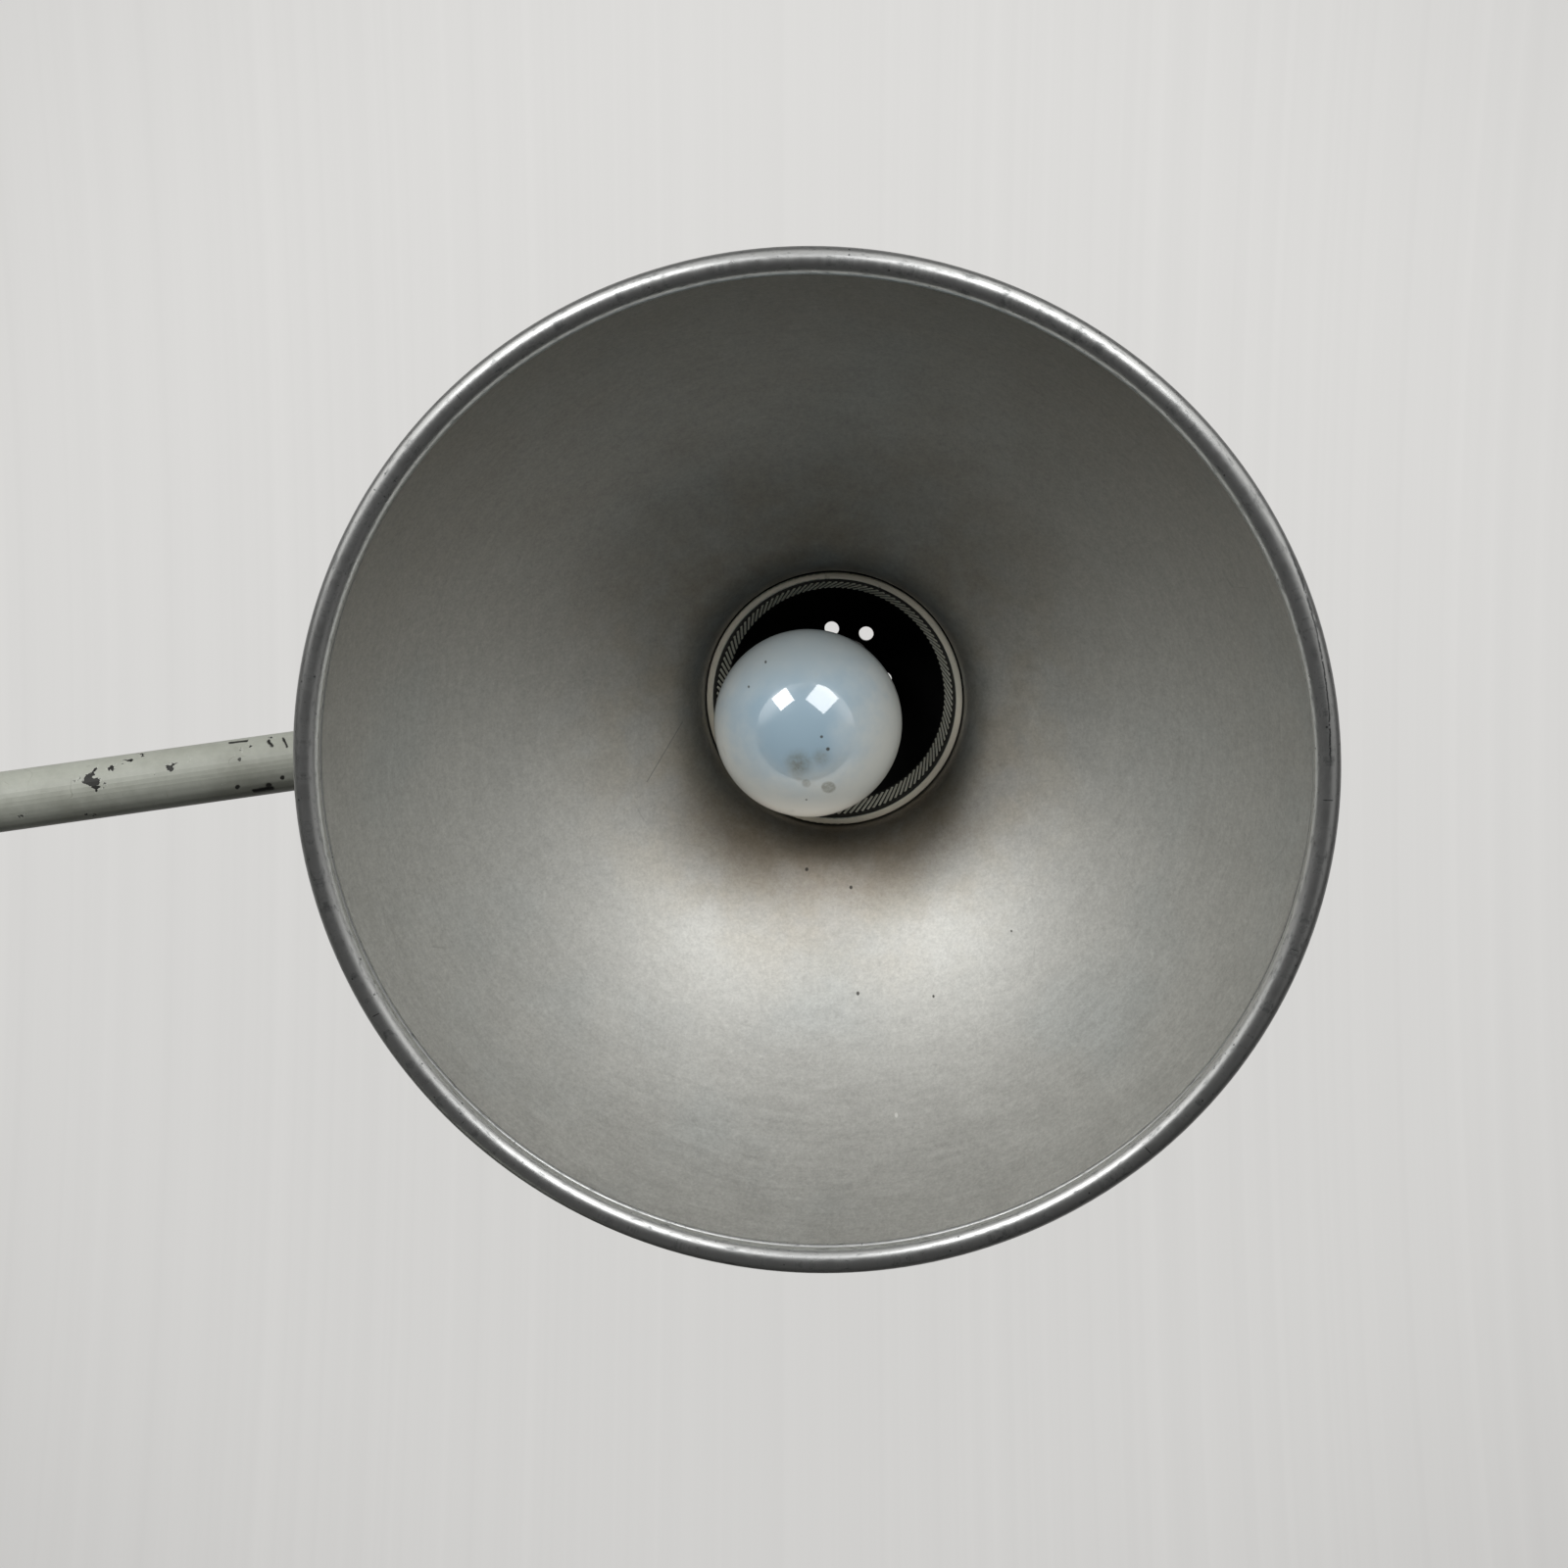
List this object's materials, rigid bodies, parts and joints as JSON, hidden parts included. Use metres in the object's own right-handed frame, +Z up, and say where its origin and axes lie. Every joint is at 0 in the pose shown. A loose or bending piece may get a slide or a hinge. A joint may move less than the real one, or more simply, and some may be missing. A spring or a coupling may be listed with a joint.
{
  "type": "architect desk lamp",
  "caption": "Jointed desk lamp: a deep spun reflector with a ventilated cap, on two round tubes with clamped knuckles, over a heavy round base.",
  "frame": {"origin": "centre of the base's underside, on the floor", "axes": "+Z up, +X from the base towards the head with the arm in the XZ plane, -Y the side that the light points to"},
  "size_m": [0.6383, 0.3185, 0.6665],
  "materials": {
    "arm_paint": "satin enamel, chipped",
    "casting_paint": "cast light alloy, satin enamel",
    "base_paint": "satin enamel over cast iron",
    "spun_aluminium": "bare spun sheet, satin",
    "ring_paint": "thin worn enamel",
    "steel": "turned and zinc plated",
    "spring_steel": "oiled spring steel",
    "brass": "turned",
    "black_plastic": "moulded, slightly worn",
    "porcelain": "glazed ceramic",
    "fibre": "vulcanised fibre",
    "nylon": "moulded nylon",
    "rubber": "moulded",
    "opal_glass": "inside frosted opal",
    "cap_metal": "rolled thread shell",
    "button_plastic": "moulded"
  },
  "bodies": {
    "base": {"base_casting": "base_paint", "bottom_plate": "steel", "bottom_plate_screws": "steel", "bottom_pad": "rubber", "cord_gland": "rubber", "cord_grip": "nylon", "terminal_block": "nylon", "swivel_bush": "brass", "switch_body": "black_plastic", "switch_ring_nut": "steel", "switch_spring": "spring_steel"},
    "switch_push": {"switch_button": "button_plastic"},
    "swivel": {"swivel_stem": "steel", "swivel_thrust_washer": "nylon", "swivel_spring_washer": "spring_steel", "swivel_nut": "steel", "shoulder_fork": "casting_paint", "shoulder_bolt": "steel", "shoulder_friction_washers": "fibre", "shoulder_spring_washer": "spring_steel"},
    "shoulder_clamp": {"shoulder_knob": "black_plastic", "shoulder_knob_insert": "brass"},
    "lower_arm": {"shoulder_tongue": "casting_paint", "lower_tube": "arm_paint", "lower_tube_screws": "steel", "elbow_fork": "casting_paint", "elbow_bolt": "steel", "elbow_friction_washers": "fibre", "elbow_spring_washer": "spring_steel"},
    "elbow_clamp": {"elbow_knob": "black_plastic", "elbow_knob_insert": "brass"},
    "upper_arm": {"elbow_tongue": "casting_paint", "upper_tube": "arm_paint", "upper_tube_screw": "steel", "head_swivel_collar": "arm_paint"},
    "head_yoke": {"head_fork": "casting_paint", "head_bolt": "steel", "head_friction_washers": "fibre", "head_spring_washer": "spring_steel", "head_swivel_washer": "fibre", "head_swivel_circlip": "spring_steel"},
    "head_clamp": {"head_knob": "black_plastic", "head_knob_insert": "brass"},
    "head": {"head_bracket": "casting_paint", "head_bracket_screws": "steel", "reflector": "spun_aluminium", "rim_wire": "steel", "cap": "casting_paint", "cap_screws": "steel", "cap_grommet": "rubber", "ribbed_ring": "ring_paint", "bulb_glass": "opal_glass", "bulb_cap": "cap_metal", "lampholder_body": "black_plastic", "lampholder_insulator": "porcelain", "lampholder_shell": "brass", "lampholder_contact": "brass", "lampholder_nipple": "brass", "lampholder_bracket": "steel"}
  },
  "joints": [
    {"name": "base_swivel", "type": "hinge", "parent": "base", "child": "swivel", "pos_m": [0, 0, 0.04], "axis": [0, 0, 1], "range_deg": [-170, 170]},
    {"name": "shoulder_tilt", "type": "hinge", "parent": "swivel", "child": "lower_arm", "pos_m": [0, 0, 0.095], "axis": [0, 1, 0], "range_deg": [-35, 40]},
    {"name": "elbow_tilt", "type": "hinge", "parent": "lower_arm", "child": "upper_arm", "pos_m": [-0.06946, 0, 0.48892], "axis": [0, 1, 0], "range_deg": [-85, 32]},
    {"name": "head_swivel", "type": "hinge", "parent": "upper_arm", "child": "head_yoke", "pos_m": [0.32645, 0, 0.54597], "axis": [0.9898, 0, 0.1426], "range_deg": [-165, 165]},
    {"name": "head_tilt", "type": "hinge", "parent": "head_yoke", "child": "head", "pos_m": [0.32645, 0, 0.54597], "axis": [-0.14, -0.1908, 0.9716], "range_deg": [-40, 95]},
    {"name": "shoulder_knob_turn", "type": "hinge", "parent": "swivel", "child": "shoulder_clamp", "pos_m": [0, 0, 0.095], "axis": [0, -1, 0], "range_deg": [0, 270]},
    {"name": "elbow_knob_turn", "type": "hinge", "parent": "lower_arm", "child": "elbow_clamp", "pos_m": [-0.06946, 0, 0.48892], "axis": [0, -1, 0], "range_deg": [0, 270]},
    {"name": "head_knob_turn", "type": "hinge", "parent": "head_yoke", "child": "head_clamp", "pos_m": [0.32645, 0, 0.54597], "axis": [-0.14, -0.1908, 0.9716], "range_deg": [0, 270]},
    {"name": "switch_press", "type": "slide", "parent": "base", "child": "switch_push", "axis": [0, 0, -1], "range_m": [0, 0.003], "stiffness_N_per_m": 400, "springref_m": -0.001, "deforming": ["switch_spring"]}
  ]
}
